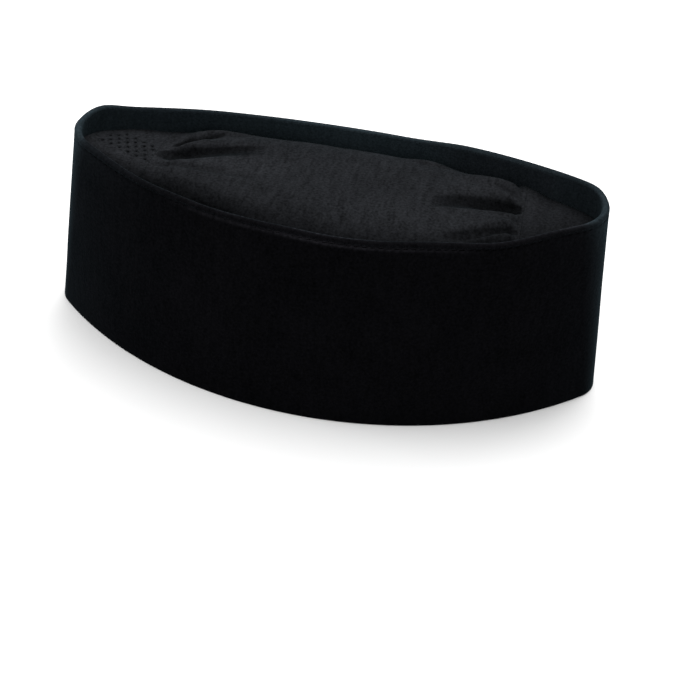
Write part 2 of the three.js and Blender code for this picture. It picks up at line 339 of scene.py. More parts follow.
def add_node(tree, kind, **inputs):
    """A shader node with its settings and unlinked inputs; names with a capital are sockets."""
    node = tree.nodes.new(kind)
    for name, value in inputs.items():
        if name[0].isupper():
            node.inputs[name.replace("_", " ")].default_value = value
        else:
            setattr(node, name, value)
    return node


def maths(tree, operation, first, second):
    """A Math node on two values or sockets, and its result."""
    node = add_node(tree, "ShaderNodeMath", operation=operation)
    for socket, value in zip(node.inputs, (first, second)):
        if isinstance(value, bpy.types.NodeSocket):
            tree.links.new(value, socket)
        else:
            socket.default_value = value
    return node.outputs[0]


def new_group(name, inputs, outputs):
    group = bpy.data.node_groups.new(name, "ShaderNodeTree")
    for label, kind, default in inputs:
        socket = group.interface.new_socket(name=label, in_out="INPUT", socket_type=kind)
        if default is not None:
            socket.default_value = default
    for label, kind in outputs:
        group.interface.new_socket(name=label, in_out="OUTPUT", socket_type=kind)
    return group, group.nodes.new("NodeGroupInput"), group.nodes.new("NodeGroupOutput")


def pile_group():
    """Tone and height of velvet pile. The pile lies along the z axis of the vector."""
    if "velvet pile" in bpy.data.node_groups:
        return bpy.data.node_groups["velvet pile"]
    group, given, result = new_group("velvet pile", [
        ("Vector", "NodeSocketVector", None),
        ("Grain Scale", "NodeSocketFloat", 900.0),
        ("Streak Scale", "NodeSocketFloat", 420.0),
        ("Patch Scale", "NodeSocketFloat", 38.0),
        ("Grain", "NodeSocketFloat", 0.5),
        ("Streaks", "NodeSocketFloat", 0.5),
        ("Patches", "NodeSocketFloat", 0.5),
    ], [("Tone", "NodeSocketFloat"), ("Height", "NodeSocketFloat")])
    link = group.links.new
    along = add_node(group, "ShaderNodeVectorMath", operation="MULTIPLY")
    along.inputs[1].default_value = (1, 1, 0.16)
    link(given.outputs["Vector"], along.inputs[0])
    layers = []
    for source, scale, amount, detail in (
        (given.outputs["Vector"], "Grain Scale", "Grain", 2.0),
        (along.outputs[0], "Streak Scale", "Streaks", 2.0),
        (given.outputs["Vector"], "Patch Scale", "Patches", 3.0),
    ):
        layer = add_node(group, "ShaderNodeTexNoise", Detail=detail, Roughness=0.55)
        link(source, layer.inputs["Vector"])
        link(given.outputs[scale], layer.inputs["Scale"])
        centred = maths(group, "SUBTRACT", layer.outputs["Fac"], 0.5)
        layers.append(maths(group, "MULTIPLY", centred, given.outputs[amount]))
    fine = maths(group, "ADD", layers[0], layers[1])
    tone = maths(group, "ADD", maths(group, "MULTIPLY", maths(group, "ADD", fine, layers[2]), 2.0), 0.5)
    link(tone, result.inputs["Tone"])
    link(fine, result.inputs["Height"])
    return group


def weave_group():
    """Height and tone of a plain weave, from crossed waves."""
    if "plain weave" in bpy.data.node_groups:
        return bpy.data.node_groups["plain weave"]
    group, given, result = new_group("plain weave", [
        ("Vector", "NodeSocketVector", None), ("Thread Scale", "NodeSocketFloat", 700.0),
    ], [("Tone", "NodeSocketFloat"), ("Height", "NodeSocketFloat")])
    link = group.links.new
    waves = []
    for direction in ("X", "Y"):
        wave = add_node(group, "ShaderNodeTexWave", wave_type="BANDS", bands_direction=direction,
                        Distortion=0.6, Detail=1.0)
        link(given.outputs["Vector"], wave.inputs["Vector"])
        link(given.outputs["Thread Scale"], wave.inputs["Scale"])
        waves.append(wave.outputs["Fac"])
    height = maths(group, "MULTIPLY", waves[0], waves[1])
    link(height, result.inputs["Height"])
    link(maths(group, "ADD", maths(group, "MULTIPLY", height, 0.6), 0.3), result.inputs["Tone"])
    return group


def start_material(name, roughness, specular):
    material = bpy.data.materials.new(name)
    material.use_nodes = True
    tree = material.node_tree
    surface = tree.nodes["Principled BSDF"]
    surface.inputs["Roughness"].default_value = roughness
    surface.inputs["Specular IOR Level"].default_value = specular
    return material, tree, surface


def object_vector(tree, turn=(0, 0, 0)):
    coordinates = add_node(tree, "ShaderNodeTexCoord")
    mapping = add_node(tree, "ShaderNodeMapping", Rotation=turn)
    tree.links.new(coordinates.outputs["Object"], mapping.inputs["Vector"])
    return mapping.outputs["Vector"]


def add_bump(tree, surface, height, distance, strength):
    relief = add_node(tree, "ShaderNodeBump", Distance=distance, Strength=strength)
    tree.links.new(height, relief.inputs["Height"])
    tree.links.new(relief.outputs["Normal"], surface.inputs["Normal"])


def tone_mix(tree, factor, first, second):
    """A colour between two others, which are colours or sockets."""
    mix = add_node(tree, "ShaderNodeMix", data_type="RGBA")
    tree.links.new(factor, mix.inputs["Factor"])
    for socket, value in zip(mix.inputs[6:8], (first, second)):
        if isinstance(value, bpy.types.NodeSocket):
            tree.links.new(value, socket)
        else:
            socket.default_value = (*value, 1)
    return mix.outputs[2]


def velvet(name, tones, painted_sheen, turn, grain, streaks, patches, sheen_weight, painted_light_gain):
    """Velvet whose pile lies along z after the turn. Its tones are a pair of colours, and the second pair,
    when given, holds paler tones for painted sheen. A fold value above 0 is painted shade, below 0 painted
    highlight."""
    material, tree, surface = start_material(name, 0.9, 0.0)
    link = tree.links.new
    pile = add_node(tree, "ShaderNodeGroup", node_tree=pile_group(), Grain=grain, Streaks=streaks,
                    Patches=patches)
    link(object_vector(tree, turn), pile.inputs["Vector"])
    shown = tone_mix(tree, pile.outputs["Tone"], *tones)
    # Painted sheen: paler tones mixed in by a value kept on each vertex.
    if painted_sheen:
        painted_sheen_tone = tone_mix(tree, pile.outputs["Tone"], *painted_sheen)
        value = add_node(tree, "ShaderNodeAttribute", attribute_name="painted_sheen")
        shown = tone_mix(tree, value.outputs["Fac"], shown, painted_sheen_tone)
    # The fold value kept on each vertex is painted shade above 0 and painted highlight below 0.
    fold = add_node(tree, "ShaderNodeAttribute", attribute_name="fold")
    keep = maths(tree, "SUBTRACT", 1.0, maths(tree, "MULTIPLY", fold.outputs["Fac"], painted_light_gain))
    shaded = add_node(tree, "ShaderNodeVectorMath", operation="SCALE")
    link(shown, shaded.inputs[0])
    link(keep, shaded.inputs["Scale"])
    link(shaded.outputs[0], surface.inputs["Base Color"])
    rough = add_node(tree, "ShaderNodeMapRange", To_Min=0.82, To_Max=1.0)
    link(pile.outputs["Tone"], rough.inputs["Value"])
    link(rough.outputs[0], surface.inputs["Roughness"])
    surface.inputs["Sheen Weight"].default_value = sheen_weight
    surface.inputs["Sheen Roughness"].default_value = 0.32
    surface.inputs["Sheen Tint"].default_value = (*settings("finishes").sheen, 1)
    add_bump(tree, surface, pile.outputs["Height"], 0.0006, 0.5)
    return material


def backing_material():
    if "woven_backing" in bpy.data.materials:
        return bpy.data.materials["woven_backing"]
    material, tree, surface = start_material("woven_backing", 0.85, 0.15)
    link = tree.links.new
    weave = add_node(tree, "ShaderNodeGroup", node_tree=weave_group())
    link(object_vector(tree, (0, 0, math.radians(45))), weave.inputs["Vector"])
    back = settings("finishes").backing
    link(tone_mix(tree, weave.outputs["Tone"], scaled(back, 0.5), back), surface.inputs["Base Color"])
    add_bump(tree, surface, weave.outputs["Height"], 0.0002, 0.6)
    return material


def thread_material():
    material, tree, surface = start_material("sewing_thread", 0.7, 0.0)
    link = tree.links.new
    twist = add_node(tree, "ShaderNodeTexWave", wave_type="BANDS", bands_direction="DIAGONAL",
                     Scale=900.0, Distortion=1.0)
    link(object_vector(tree), twist.inputs["Vector"])
    thread = settings("finishes").thread
    link(tone_mix(tree, twist.outputs["Fac"], scaled(thread, 0.5), thread), surface.inputs["Base Color"])
    add_bump(tree, surface, twist.outputs["Fac"], 0.0001, 0.4)
    return material


def needle_phase(way):
    """0 at a needle hole and 1 half-way between two, for distances along the rim."""
    return 0.5 - 0.5 * np.cos(2 * math.pi * way / settings("stitches").pitch)


def stitch_relief(drop, way):
    """Change of inset near the stitched line: the groove, and the cloth that stands out beside it."""
    stitches = settings("stitches")
    between = needle_phase(way)
    pulled = bell((drop - stitches.drop) / stitches.groove_width)
    groove = stitches.groove_depth * pulled * (1 - 0.35 * between)
    above = bump((drop - stitches.drop * 0.45) / (stitches.drop * 0.5))
    below = bump((drop - stitches.drop * 1.45) / 0.0016)
    return groove - stitches.pucker * (0.4 + 0.6 * between) * (above + 0.6 * below)


FOOT, SIDE, RIM = 0, 1, 2


def rim_zone(stitches):
    """How far down from the rim the rows keep their distance from it."""
    return stitches.drop + 0.0035


def band_section(band, stitches):
    """Rows of the band's section, from the underside out, up the outer face, over the rim and down inside,
    and how many lie before the rim's fold. A row has its kind, its place and its inset from the outer face.
    The place is a height at the foot, a share of the way up at the side, and a drop from the rim near it."""
    wall, fold, foot = band.wall, band.fold_radius, band.foot_radius
    needles, groove = stitches.drop, 0.0012
    arc = np.linspace(0, math.pi / 2, 5)
    drops = np.concatenate([np.linspace(rim_zone(stitches), needles + groove, 5)[:-1],
                            np.linspace(needles + groove, needles - groove, 9)[:-1],
                            np.linspace(needles - groove, fold, 4)[:-1]])
    rows = [(FOOT, foot * (1 - math.cos(a)), foot * (1 - math.sin(a))) for a in arc[:-1]]
    rows += [(SIDE, step, 0.0) for step in np.linspace(0, 1, 22)[:-1]]
    rows += [(RIM, drop, 0.0) for drop in drops]
    before_fold = len(rows)
    rows += [(RIM, fold * (1 - math.sin(a)), fold * (1 - math.cos(a))) for a in arc]
    rows += [(RIM, fold * (1 - math.cos(a)), wall - fold * (1 - math.sin(a))) for a in arc]
    rows += [(RIM, drop, wall) for drop in drops[::-1]]
    rows += [(SIDE, step, wall) for step in np.linspace(1, 0, 14)[1:]]
    rows += [(FOOT, foot * (1 - math.sin(a)), wall - foot * (1 - math.cos(a))) for a in arc[1:]]
    return np.array(rows), before_fold


def facing_side(q):
    """How far the band's outer face is turned to the side of the cap, from 0 at the end to 1."""
    rim, step = outlines()[1], 0.001
    return (quarter_points(rim, q, 0)[1] - quarter_points(rim, q, step)[1]) / step


def band_tones(x, y, spots, drop, inset, way, facing, in_zone):
    """Painted shade and highlight (fold) and painted sheen values of the band, for drops from the rim. facing
    is -1 on the -Y side, 1 on +Y.
    """
    band, stitches = settings("band"), settings("stitches")
    outside = inset < band.wall / 2
    top = in_zone * (drop < band.fold_radius * 1.01)
    below_fold = np.clip(drop / band.fold_radius, 0, 1)
    uneven = np.clip(0.62 + 0.9 * wander(spots, 0.03, 9), 0.15, 1)
    ends = 1 - smooth_step(0.40, np.where(x < 0, 0.98, 0.93), np.abs(facing))
    away = smooth_step(-0.90, -0.45, facing)
    left_tip = smooth_step(0.098, 0.112, -x)

    # The inner face gets painted sheen, greyer along one stretch. The outer face gets painted sheen at the
    # ends alone.
    grey = np.where(outside, 0, smooth_step(0.030, 0.050, x) * (1 - smooth_step(0.088, 0.100, x)) * away)
    inner = np.where(outside, 0, (0.56 + 0.44 * bell(x / 0.05)) * (1 - 0.42 * smooth_step(0.02, 0.06, x))
                     * (1 - 0.55 * grey))
    outer = np.where(outside, ends * (0.11 + 0.34 * np.exp(-drop / 0.010)) * np.where(x < 0, 1.95, 1), 0)

    # The rim gets painted sheen over its whole fold where it faces away, and a thin painted highlight along
    # its crest on the -Y side, with a painted glint near the +X end.
    reach_down = 0.0036 + 0.0055 * left_tip * (y < 0)
    wide = (np.clip((inset - 0.0003) / 0.0006, 0, 1) * np.clip(1 - drop / reach_down, 0, 1) * in_zone
            * (0.42 + 0.50 * bell(x / 0.048) + 0.48 * left_tip + 0.32 * smooth_step(0.100, 0.113, x)))
    crest_highlight_mask = bell((inset - band.wall * 0.72) / (band.wall * 0.24)) * top
    painted_crest_highlight = (0.06 * top + crest_highlight_mask * uneven * (0.20 + 0.36 * needle_phase(way))
             * (0.30 + 0.35 * smooth_step(-0.075, -0.050, x) + 0.35 * smooth_step(-0.050, -0.020, x))
             * (1 - 0.28 * bell((x - 0.060) / 0.010) + 0.50 * smooth_step(0.066, 0.074, x))
             + 0.30 * crest_highlight_mask * bell((x - 0.103) / 0.006))

    # The stitched line gets a painted highlight in the middle of the -Y side, and the cloth above it painted
    # shade.
    near_middle = smooth_step(0.935, 0.985, -facing)
    stitch_highlight_mask = bell((drop - stitches.drop - 0.0002) / 0.0008) * outside * in_zone * near_middle
    line = (stitch_highlight_mask * np.clip(uneven, 0.5, 0.8) * (0.6 + 0.4 * needle_phase(way))
            * (0.30 + 0.34 * smooth_step(-0.040, -0.015, x)))
    painted_tuck_shade = bell((drop - stitches.drop * 0.5) / 0.0007) * outside * in_zone
    # Painted shade under the tuck is above 0; the painted highlights of the crest, the stitched line and the
    # grey stretch are below 0.
    shade = 0.35 * painted_tuck_shade * (1 - ends) - 1.25 * grey * below_fold - 8.5 * (1 - away) * painted_crest_highlight - 11.5 * line
    return shade, np.clip(np.maximum(np.maximum(inner * below_fold, outer), away * wide), 0, 1)


class SONGKOK_OT_band(bpy.types.Operator):
    """Build the velvet band with its folded rim and pulled-in stitch line"""
    bl_idname = "songkok.band"
    bl_label = "Band"

    def execute(self, context):
        band, stitches, crown = settings("band"), settings("stitches"), settings("crown")
        rows, before_fold = band_section(band, stitches)
        count = len(rows)
        piece, u, v = new_grid("band_velvet_cover", band.columns, count)
        row = np.round(v * count).astype(int) % count
        kind, place, inset = rows[row].T

        turn, rim_way = even_turns(u)
        q, sign_x, sign_y = quarter_of(np.where(u > 0.9999999, 0.0, turn))
        rim = rim_height(q) + rim_lift(q, sign_x, sign_y)
        side = band.foot_radius + place * (rim - rim_zone(stitches) - band.foot_radius)
        height = np.where(kind == FOOT, place, np.where(kind == SIDE, side, rim - place))
        drop = rim - height
        # A whole number of stitches goes round, so that their pattern closes.
        way = u * round(rim_way / stitches.pitch) * stitches.pitch

        stitched = (kind == RIM) & (inset < band.wall / 2)
        pulled_in = np.where(stitched, stitch_relief(drop, way), 0) * np.clip(drop / band.fold_radius, 0, 1)
        x, y, z = band_points(q, height, inset + pulled_in)
        x, y = x * sign_x, y * sign_y
        spots = np.stack([x, y, z], 1)
        slow = wander(spots, 0.055, 1) + 0.35 * wander(spots, 0.018, 2)
        shift = band.unevenness * slow * np.clip(height / 0.02, 0, 1)
        reach = np.maximum(np.hypot(x, y), 1e-6)
        x, y = x + shift * x / reach, y + shift * y / reach
        near_rim = np.clip(1 - drop / 0.02, 0, 1)
        z = z + near_rim * (0.6 * band.unevenness * wander(np.stack([x, y, 0 * z], 1), 0.024, 3)
                            - 0.5 * stitches.pucker * (1 - needle_phase(way)))
        put_points(piece, x, y, np.maximum(z, 0))

        facing = facing_side(q) * sign_y
        # Painted shade, painted highlights and painted sheen of the band, kept on each vertex.
        shade, painted_sheen = band_tones(x, y, spots, drop, inset, way, facing, 1.0 * (kind == RIM))
        keep_values(piece, "fold", shade)
        keep_values(piece, "painted_sheen", painted_sheen)
        finishes = settings("finishes")
        piece.data.materials.append(velvet(
            "band_velvet", (finishes.band_deep, finishes.band_light),
            (finishes.painted_sheen_deep, finishes.painted_sheen_light), (0, 0, 0), 0.75, 0.25, 0.30, 0.05, 0.8))
        piece.data.materials.append(backing_material())
        backed = (row > before_fold) & (height < rim - crown.drop - crown.cloth)
        corners = np.empty(len(piece.data.loops), int)
        piece.data.loops.foreach_get("vertex_index", corners)
        backed_faces = backed[corners].reshape(-1, 4).all(1)
        piece.data.polygons.foreach_set("material_index", backed_faces.astype(np.int32))
        close_outline(piece)
        smooth(piece)
        dress(piece, "side_band")
        return {"FINISHED"}


class SONGKOK_OT_stitches(bpy.types.Operator):
    """Lay a row of sewn stitches in the line below the rim"""
    bl_idname = "songkok.stitches"
    bl_label = "Rim stitches"

    def execute(self, context):
        stitches = settings("stitches")
        rim_way = even_turns(np.zeros(1))[1]
        count = int(round(rim_way / stitches.pitch))
        bpy.ops.object.select_all(action="DESELECT")
        bpy.ops.mesh.primitive_uv_sphere_add(segments=6, ring_count=5, radius=1)
        thread = bpy.context.active_object
        form = np.array([tuple(vertex.co) for vertex in thread.data.vertices])
        faces = [tuple(polygon.vertices) for polygon in thread.data.polygons]
        bpy.data.objects.remove(thread, do_unlink=True)
        places, corners = [], []
        middle = (np.arange(count) + 0.5) / count
        half = 0.40 / count
        ends = []
        for where in (middle - half, middle + half):
            q, sign_x, sign_y = quarter_of(even_turns(where % 1)[0])
            rim = rim_height(q) + rim_lift(q, sign_x, sign_y)
            x, y, z = band_points(q, rim - stitches.drop, stitches.groove_depth * 0.6)
            ends.append(np.stack([x * sign_x, y * sign_y, z], 1))
        loose = wander(ends[0], 0.006, 8)
        for start, end, slack in zip(*ends, loose):
            along = (end - start) / 2
            ahead = along / np.linalg.norm(along)
            across = np.cross(ahead, (0, 0, 1))
            across /= np.linalg.norm(across)
            upwards = np.cross(across, ahead)
            lean = 0.10 * np.linalg.norm(along) * upwards
            centre = (start + end) / 2 + across * stitches.thread * (0.1 + 0.5 * slack)
            shape = (np.outer(form[:, 2], along + lean) + np.outer(form[:, 0], across * stitches.thread / 2)
                     + np.outer(form[:, 1], upwards * stitches.thread / 2)) + centre
            shape -= np.outer(np.abs(form[:, 2]) ** 3, across * stitches.thread * 0.7)
            corners += [tuple(index + len(form) * len(places) for index in face) for face in faces]
            places.append(shape)
        mesh = bpy.data.meshes.new("rim_stitches")
        mesh.from_pydata(np.concatenate(places).tolist(), [], corners)
        piece = bpy.data.objects.new("rim_stitches", mesh)
        context.scene.collection.objects.link(piece)
        mesh.materials.append(thread_material())
        close_outline(piece)
        smooth(piece)
        dress(piece, None)
        return {"FINISHED"}


Pleat = namedtuple("Pleat", "side from_x from_y to_x to_y half depth near_ridge far_ridge lean")
Hollow = namedtuple("Hollow", "from_x from_y to_x to_y half depth")
Patch = namedtuple("Patch", "x y long wide amount")

# Pleats start at or near a cross seam and run out towards the middle. x is a share of the seam's distance,
# y and half are shares of half the crown's width. Depth and ridges are shares of the puff, and lean shifts
# the trough to one side. A hollow has the same shares, and one of negative depth is a swelling.
PLEATS = (
    Pleat(-1, 0.995, 0.11, 0.38, 0.44, 0.250, 0.52, 0.05, 0.10, 0.30),
    Pleat(-1, 0.94, 0.38, 0.66, 0.79, 0.130, 0.42, 0.00, 0.18, 0.10),
    Pleat(-1, 1, -0.20, 0.30, -0.23, 0.100, 0.12, 0.02, 0.02, 0.0),
    Pleat(1, 1, 0.28, 0.48, -0.11, 0.280, 0.56, 0.08, 0.16, -0.10),
    Pleat(1, 1, -0.36, 0.58, -0.70, 0.120, 0.26, 0.10, 0.12, 0.0),
    Pleat(1, 1, 0.50, 0.78, 0.62, 0.080, 0.12, 0.04, 0.06, 0.0),
)
HOLLOWS = (
    Hollow(-1.50, -0.39, -0.05, -1.09, 0.34, 0.52),
    Hollow(0.60, -0.74, 0.98, -0.80, 0.28, 0.32),
    Hollow(-1.00, 0.76, -0.46, 0.95, 0.20, -0.26),
    Hollow(0.28, 0.86, 0.64, 0.93, 0.17, -0.30),
    Hollow(0.62, 0.66, 1.04, 0.84, 0.26, -0.32),
)

# Patches of the middle panel whose tone is made paler.
PALE_PATCHES = (
    Patch(-0.046, 0.000, 0.022, 0.008, 0.26),
    Patch(0.026, -0.016, 0.026, 0.009, 0.16),
    Patch(0.062, 0.016, 0.010, 0.007, 0.16),
    Patch(-0.020, 0.004, 0.014, 0.009, 0.10),
)


def crown_edge(q):
    """Where the top of the crown meets the band, in the first quarter."""
    band, crown = settings("band"), settings("crown")
    return band_points(q, rim_height(q) - crown.drop, band.wall + crown.seat_gap)


def positions_at(x):
    """Quarter positions at which the crown's edge is at the given distances from the middle."""
    q = np.linspace(0, 1, 6001)
    edge_x = crown_edge(q)[0]
    return np.interp(x, edge_x[::-1], q[::-1])


def near_edge_shade(x, share):
    """Painted shade on the middle panel beside the band on the -Y side. share is y over half the width."""
    reach = (0.40 - 0.12 * smooth_step(-0.01, 0.01, x) + 0.20 * smooth_step(0.055, 0.075, x)
             + 0.16 * smooth_step(0.060, 0.076, -x))
    amount = 0.78 * (1 - 0.25 * bell((x + 0.022) / 0.012))
    return amount * bell(((1 + share) / reach) ** 1.4) * (share < 0)


def pleat_shape(pleat, x, y, half_width):
    """Height change of one pleat, and the painted shade in its trough, from 0 to 1."""
    crown = settings("crown")
    along = (pleat.from_x - x * pleat.side / crown.seam_from_middle) / (pleat.from_x - pleat.to_x)
    inside = (along >= 0) & (along <= 1)
    along = np.clip(along, 0, 1)
    middle = (pleat.from_y + (pleat.to_y - pleat.from_y) * along) * half_width
    open_end = 0.25 * (pleat.from_x == 1)
    lens = np.sqrt(np.minimum(1, along * 7 + open_end)) * (1 - along) * inside
    half = pleat.half * half_width * (1 - 0.45 * along) * np.sqrt(np.minimum(1, along * 6 + 0.12))
    offset = (y - middle) / half
    offset = np.where(offset < 0, offset / (1 + pleat.lean), offset / (1 - pleat.lean))
    trough = bump(offset)
    ridges = bump(offset + 1.5) * pleat.near_ridge + bump(offset - 1.5) * pleat.far_ridge
    dark = (0.93 * smooth_step(0.04, 0.50, trough) * lens**0.32 * smooth_step(0.02, 0.22, 1 - along)
            * min(1, pleat.depth / 0.45))
    return crown.puff_rise * lens * (ridges - trough * pleat.depth), dark


def hollow_shape(hollow, x, y, half_width):
    crown = settings("crown")
    along = (x / crown.seam_from_middle - hollow.from_x) / (hollow.to_x - hollow.from_x)
    middle = hollow.from_y + (hollow.to_y - hollow.from_y) * along
    offset = (y / half_width - middle) / hollow.half
    low = hollow.depth * bump(2 * along - 1) * bump(offset)
    return -crown.puff_rise * low, low


def seam_level(side, y, half_width):
    """Height of both panels at a cross seam, above the crown's edge. The +X seam is puffed on its +Y side."""
    share = y / half_width
    swell = 0.0028 * bump((share - 0.80) / 0.55) * (side > 0)
    rise = settings("crown").end_rise + 0.0014 * (side < 0)
    return rise * np.maximum(0, 1 - share**2) + swell


def puff_surface(x, y, half_width):
    """Height of the middle panel above its edge, and its fold value: painted shade in pleats, hollows and
    beside the band, painted light beside the -X seam, and paler patches.
    """
    crown = settings("crown")
    along = np.minimum(1, np.abs(x) / crown.seam_from_middle)
    across = np.minimum(1, np.abs(y) / half_width)
    share = y / half_width
    rise = crown.seam_rise + (crown.puff_rise - crown.seam_rise) * (1 - along**2.4)
    side = 1 - across**3.4
    folds, shade, painted_hollow_shade = 0 * x, 0 * x, 0 * x
    for pleat in PLEATS:
        change, dark = pleat_shape(pleat, x, y, half_width)
        folds, shade = folds + change, np.maximum(shade, dark)
    # Hollows are sunk, and painted shade is laid in them by their depth.
    for hollow in HOLLOWS:
        change, low = hollow_shape(hollow, x, y, half_width)
        folds, painted_hollow_shade = folds + change, painted_hollow_shade + np.maximum(0, low)
    fade = np.minimum(1, side * 1.6)
    spots = np.stack([x, y, 0 * x], 1)
    seam_way = crown.seam_from_middle - np.abs(x)
    from_seam = smooth_step(0, crown.seam_blend * np.where(x < 0, 2.2, 1), seam_way)
    gathers = 0.00042 * np.exp(-seam_way / 0.013) * np.sin(
        2 * math.pi * (y / 0.0074 + 0.7 * wander(spots, 0.03, 4) + 0.3 * np.sign(x)))
    waves = 0.0005 * wander(spots, 0.024, 5) + 0.00022 * wander(spots, 0.009, 6)
    puffed = np.maximum(0, rise * side + (folds + waves + gathers) * fade)
    height = puffed * from_seam + seam_level(np.sign(x), y, half_width) * (1 - from_seam)
    roll = crown.seam_roll * bell(seam_way / 0.0009) * np.minimum(1, height / crown.seam_roll)

    # Beside the -X seam the velvet gets painted light and weaker painted shade, so that it meets the vented
    # end's cloth, which is painted lighter.
    painted_seam_light = bell(seam_way / 0.010) * (x < 0)
    painted_fold_shade = np.clip(shade + painted_hollow_shade * (1 - 0.2 * painted_seam_light), 0, 1.1) * fade
    painted_band_shade = 0.4 * bell((1 - across) / 0.03) + near_edge_shade(x, share) * (1 - 0.2 * painted_seam_light)
    shade = (painted_fold_shade * np.where(x < 0, 1, smooth_step(0, 0.25 * crown.seam_blend, seam_way)) + painted_band_shade
             - 0.30 * painted_seam_light * smooth_step(-0.8, -0.2, share))
    for patch in PALE_PATCHES:
        shade = shade - patch.amount * bell((x - patch.x) / patch.long) * bell((y - patch.y) / patch.wide)
    return height - roll, np.clip(shade, -0.4, 1)


def panel_piece(name, stations, columns, rows, surface):
    """A crown panel between stations, as an open sheet, with its fold values of painted shade and light."""
    piece, u, v = new_grid(name, columns, rows)
    x = stations(u)
    edge_y, edge_z = crown_edge(positions_at(np.abs(x)))[1:]
    tip = np.abs(x) >= crown_edge(np.zeros(1))[0][0] - 1e-9
    half_width = np.where(tip, 0, edge_y)
    y = half_width * (2 * v - 1)
    height, shade = surface(x, y, np.maximum(half_width, 1e-6))
    put_points(piece, x, y, edge_z + height)
    keep_values(piece, "fold", shade)
    return piece


class SONGKOK_OT_crown(bpy.types.Operator):
    """Build the puffed middle panel with its pleats and hollows"""
    bl_idname = "songkok.crown"
    bl_label = "Crown panel"

    def execute(self, context):
        crown, finishes = settings("crown"), settings("finishes")
        reach = crown.seam_from_middle - crown.seam_slit / 2

        def stations(u):
            even = 2 * u - 1
            return reach * (0.65 * even + 0.35 * np.sin(even * math.pi / 2))

        piece = panel_piece("crown_velvet_cover", stations, 300, 140, puff_surface)
        piece.data.materials.append(velvet("crown_velvet", (finishes.crown_deep, finishes.crown_light), None,
                                           (math.radians(90), 0, 0), 0.85, 0.50, 0.22, 0.02, 0.90))
        piece.data.materials.append(backing_material())
        give_thickness(piece, crown.cloth)
        smooth(piece)
        dress(piece, "crown_panel")
        return {"FINISHED"}


def vent_places():
    """Middles of the vent holes, in staggered rows, without those too near the band or the seam."""
    vents, crown = settings("vents"), settings("crown")
    tip = crown_edge(np.zeros(1))[0][0]
    turned, places = (math.cos(vents.tilt), math.sin(vents.tilt)), []
    for row in range(vents.rows):
        across = (row - (vents.rows - 1) / 2) * vents.row_pitch
        for column in range(vents.columns):
            along = (column - (vents.columns - 1) / 2 + row % 2 / 2) * vents.pitch
            x = vents.middle[0] + along * turned[0] - across * turned[1]
            y = vents.middle[1] + along * turned[1] + across * turned[0]
            reach = abs(x) + vents.margin
            room = crown_edge(positions_at(np.array([reach])))[1][0] - abs(y)
            if abs(x) - vents.diameter > crown.seam_from_middle and reach < tip and room > vents.margin:
                places.append((x, y))
    return places


def end_surface(vented):
    """Height of an end panel above its edge and its fold value of painted shade, with lips round the vent
    holes.
    """
    crown, vents = settings("crown"), settings("vents")

    def surface(x, y, half_width):
        across = np.minimum(1, np.abs(y) / half_width)
        spots = np.stack([x, y, 0 * x], 1)
        fade = 1 - across**2
        seam_way = np.abs(x) - crown.seam_from_middle
        uneven = 0.0003 * wander(spots, 0.012, 7) * smooth_step(0, 0.003, seam_way)
        level = crown.end_rise * fade
        from_seam = smooth_step(0, 0.012, seam_way)
        height = seam_level(np.sign(x), y, half_width) * (1 - from_seam) + level * from_seam + uneven * fade
        # Painted shade along the band's edge and beside the band on the -Y side.
        edge = 0.40 * bell((1 - across) * half_width / 0.0014)
        from_band = half_width + y
        shade = edge + np.where(x < 0, 0.45 * bell(from_band / 0.010), 0.72 * bell(from_band / 0.024))
        height = height - crown.seam_roll * bell(seam_way / 0.0009) * fade
        if vented:
            # The crown's first hollow continues here as painted shade.
            low, share = np.maximum(0, hollow_shape(HOLLOWS[0], x, y, half_width)[1]), y / half_width
            # At the seam the painted-lighter cloth gets painted shade down to the tone of the middle panel.
            at_seam = (edge + 0.31 - 0.21 * smooth_step(-0.8, -0.2, share)
                       + 0.56 * np.minimum(1, near_edge_shade(x, share) + low))
            shade = (shade + 1.5 * low) * from_seam + at_seam * (1 - from_seam)
            height = height + crown.vented_lift * smooth_step(0, 0.016, seam_way)
            for hole_x, hole_y in vent_places():
                away = np.hypot(x - hole_x, y - hole_y)
                height = height + vents.lip * bell((away - vents.diameter * 0.85) / (vents.diameter * 0.30))
                # Painted shade at the edge of each vent hole.
                shade = shade + 1.1 * bell(away / (vents.diameter * 0.62))
        return height, np.clip(shade, 0, 1)

    return surface


